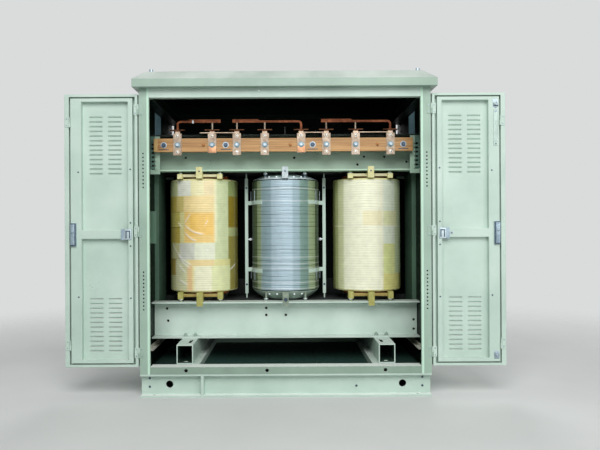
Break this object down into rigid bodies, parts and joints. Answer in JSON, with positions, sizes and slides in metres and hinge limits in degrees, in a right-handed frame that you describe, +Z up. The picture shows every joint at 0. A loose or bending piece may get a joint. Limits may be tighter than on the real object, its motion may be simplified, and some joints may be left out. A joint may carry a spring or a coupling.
{
  "type": "dry-type transformer in a cabinet",
  "caption": "Three-phase dry-type transformer: core and film-wrapped coils on skids in a hip-roofed sheet-steel cabinet whose louvred front doors swing open flat.",
  "frame": {"origin": "on the floor under the middle of the cabinet", "axes": "+X to the right as seen from the open front, +Y to the rear, +Z up"},
  "size_m": [2.976, 1.35, 2.225],
  "materials": {
    "sage_paint": "baked sage-green enamel on folded sheet steel",
    "bare_angle": "pale primer",
    "zinc": "zinc-plated steel",
    "core_steel": "stacked electrical steel, dark varnish",
    "winding_tube": "varnished laminated paper tube",
    "film": "yellow insulating film wrapped over the winding",
    "foil": "aluminium strip turns under clear film",
    "block": "pale moulded insulating blocks",
    "laminate": "varnished laminated wood",
    "tinned_copper": "tinned copper bar",
    "copper": "bare copper bar, darkened"
  },
  "bodies": {
    "cabinet": {"base_front_channel": "sage_paint", "base_rear_channel": "sage_paint", "base_side_channels": "sage_paint", "base_rib": "sage_paint", "floor_plate": "sage_paint", "floor_rails": "sage_paint", "front_sill": "sage_paint", "rear_sill": "sage_paint", "front_left_post": "sage_paint", "front_right_post": "sage_paint", "rear_left_post": "sage_paint", "rear_right_post": "sage_paint", "front_header": "sage_paint", "rear_header": "sage_paint", "side_headers": "sage_paint", "left_side_panel": "sage_paint", "right_side_panel": "sage_paint", "side_vents": "zinc", "side_stiffeners": "sage_paint", "rear_panels": "sage_paint", "side_ledges": "bare_angle", "wall_plate": "sage_paint", "roof": "sage_paint", "lifting_plugs": "zinc", "left_post_hinges": "sage_paint", "right_post_hinges": "sage_paint", "left_skid": "sage_paint", "right_skid": "sage_paint", "lower_front_clamp": "sage_paint", "lower_rear_clamp": "sage_paint", "upper_front_clamp": "sage_paint", "upper_rear_clamp": "sage_paint", "clamp_brackets": "sage_paint", "core_yokes": "core_steel", "core_limbs": "core_steel", "winding_tubes": "winding_tube", "left_coil": "film", "middle_coil": "foil", "right_coil": "film", "bottom_blocks": "block", "top_blocks": "block", "tie_bars": "sage_paint", "terminal_board": "laminate", "board_standoffs": "zinc", "terminal_straps": "tinned_copper", "strap_lugs": "tinned_copper", "jumper_bars": "copper", "jumper_pins": "zinc"},
    "left_door": {"left_door_pan": "sage_paint", "left_door_frame": "sage_paint", "left_door_latch": "zinc", "left_door_hinges": "sage_paint"},
    "right_door": {"right_door_pan": "sage_paint", "right_door_frame": "sage_paint", "right_door_latch": "zinc", "right_door_hinges": "sage_paint"}
  },
  "joints": [
    {"name": "left_door_swing", "type": "hinge", "parent": "cabinet", "child": "left_door", "pos_m": [-0.99, -0.621, 1.12], "axis": [0, 0, 1], "range_deg": [0, 180]},
    {"name": "right_door_swing", "type": "hinge", "parent": "cabinet", "child": "right_door", "pos_m": [0.99, -0.621, 1.12], "axis": [0, 0, -1], "range_deg": [0, 180]}
  ]
}
